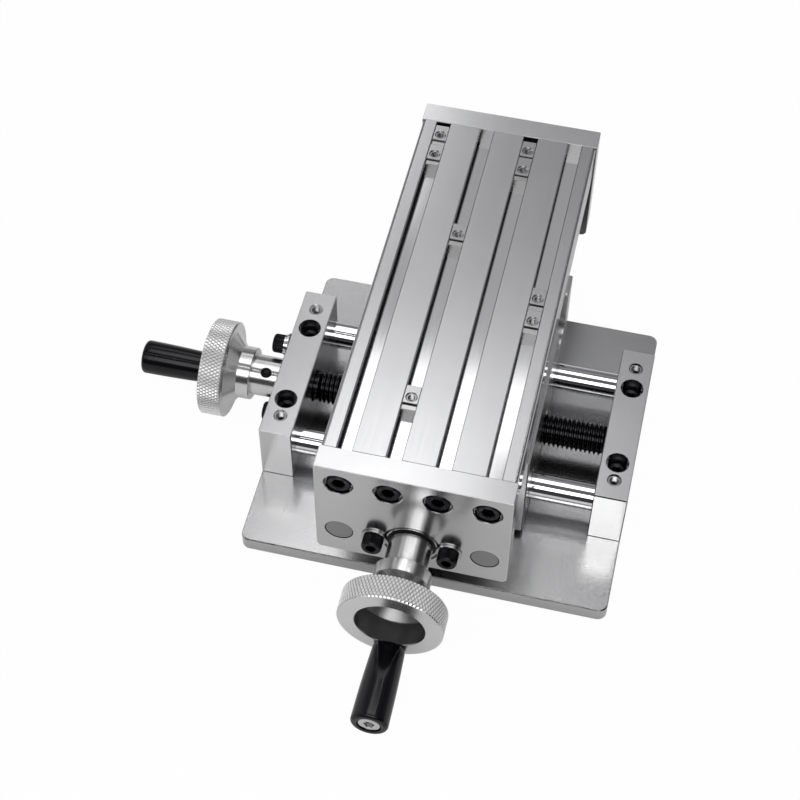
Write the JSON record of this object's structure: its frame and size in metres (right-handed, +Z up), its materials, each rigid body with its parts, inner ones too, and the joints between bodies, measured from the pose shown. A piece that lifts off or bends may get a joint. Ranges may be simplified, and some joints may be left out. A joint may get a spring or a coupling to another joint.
{
  "type": "cross slide table",
  "caption": "Cross slide table: base plate, saddle and long T-slotted table on crossed guide rods, each slide driven by a lead screw with a knurled handwheel and a revolving handle.",
  "frame": {"origin": "centre of the base plate's underside", "axes": "+Z up, +Y to the rear along the T-slotted table, away from its handwheel, +X to the right along the lower slide, away from its handwheel"},
  "size_m": [0.2298, 0.2796, 0.0881],
  "materials": {
    "satin_aluminium": "fine brushed, clear anodised",
    "extruded_aluminium": "satin anodised, drawn lengthwise",
    "turned_aluminium": "bright turned, rim knurled",
    "chromed_rod": "ground and polished",
    "blackened_steel": "black oxide, slightly oily",
    "bright_steel": "bright plated",
    "seal_rubber": "matt black",
    "bronze": "turned bearing bronze",
    "gloss_black_plastic": "moulded, gloss black"
  },
  "bodies": {
    "base": {"base_plate": "satin_aluminium", "left_end_block": "satin_aluminium", "right_end_block": "satin_aluminium", "x_rod_front": "chromed_rod", "x_rod_rear": "chromed_rod", "end_block_screws": "blackened_steel", "rod_lock_screws": "bright_steel", "x_bearing_outer_ring": "bright_steel", "x_bearing_seals": "seal_rubber", "x_retainer_washers": "bright_steel", "x_retainer_screws": "blackened_steel", "x_end_bush": "bronze"},
    "saddle": {"saddle_block": "satin_aluminium", "saddle_end_plate": "satin_aluminium", "saddle_end_screws": "blackened_steel", "x_bushes": "bronze", "y_front_bushes": "bronze", "y_rear_bushes": "bronze", "x_nut": "bronze", "y_nut": "bronze", "nut_lock_screws": "bright_steel"},
    "table": {"table_profile": "extruded_aluminium", "front_plate": "satin_aluminium", "rear_plate": "satin_aluminium", "y_rod_left": "chromed_rod", "y_rod_right": "chromed_rod", "front_plate_screws": "blackened_steel", "rear_plate_screws": "blackened_steel", "y_bearing_outer_ring": "bright_steel", "y_bearing_seals": "seal_rubber", "y_retainer_washers": "bright_steel", "y_retainer_screws": "blackened_steel", "y_end_bush": "bronze", "slot_nuts": "bright_steel"},
    "x_screw": {"x_lead_screw": "blackened_steel", "x_bearing_inner_ring": "bright_steel", "x_handwheel": "turned_aluminium", "x_wheel_set_screw": "blackened_steel", "x_handle_bolt": "bright_steel"},
    "y_screw": {"y_lead_screw": "blackened_steel", "y_bearing_inner_ring": "bright_steel", "y_handwheel": "turned_aluminium", "y_wheel_set_screw": "blackened_steel", "y_handle_bolt": "bright_steel"},
    "x_handle": {"x_handle": "gloss_black_plastic"},
    "y_handle": {"y_handle": "gloss_black_plastic"}
  },
  "joints": [
    {"name": "x_screw_spin", "type": "hinge", "parent": "base", "child": "x_screw", "pos_m": [-0.08, 0, 0.0225], "axis": [1, 0, 0], "range_deg": [-4860, 3960]},
    {"name": "x_slide", "type": "slide", "parent": "base", "child": "saddle", "axis": [1, 0, 0], "range_m": [-0.022, 0.027]},
    {"name": "y_slide", "type": "slide", "parent": "saddle", "child": "table", "axis": [0, 1, 0], "range_m": [-0.051, 0.027]},
    {"name": "y_screw_spin", "type": "hinge", "parent": "table", "child": "y_screw", "pos_m": [-0.0024, -0.085, 0.0447], "axis": [0, 1, 0], "range_deg": [-9180, 4860]},
    {"name": "x_handle_spin", "type": "hinge", "parent": "x_screw", "child": "x_handle", "pos_m": [-0.1145, 0.00896, 0.00758], "axis": [1, 0, 0], "continuous": true},
    {"name": "y_handle_spin", "type": "hinge", "parent": "y_screw", "child": "y_handle", "pos_m": [-0.0024, -0.1238, 0.0273], "axis": [0, 1, 0], "continuous": true}
  ],
  "couplings": [
    {"joint": "x_screw_spin", "follows": "x_slide", "rad_per_m": -3141.6},
    {"joint": "y_screw_spin", "follows": "y_slide", "rad_per_m": 3141.6}
  ]
}
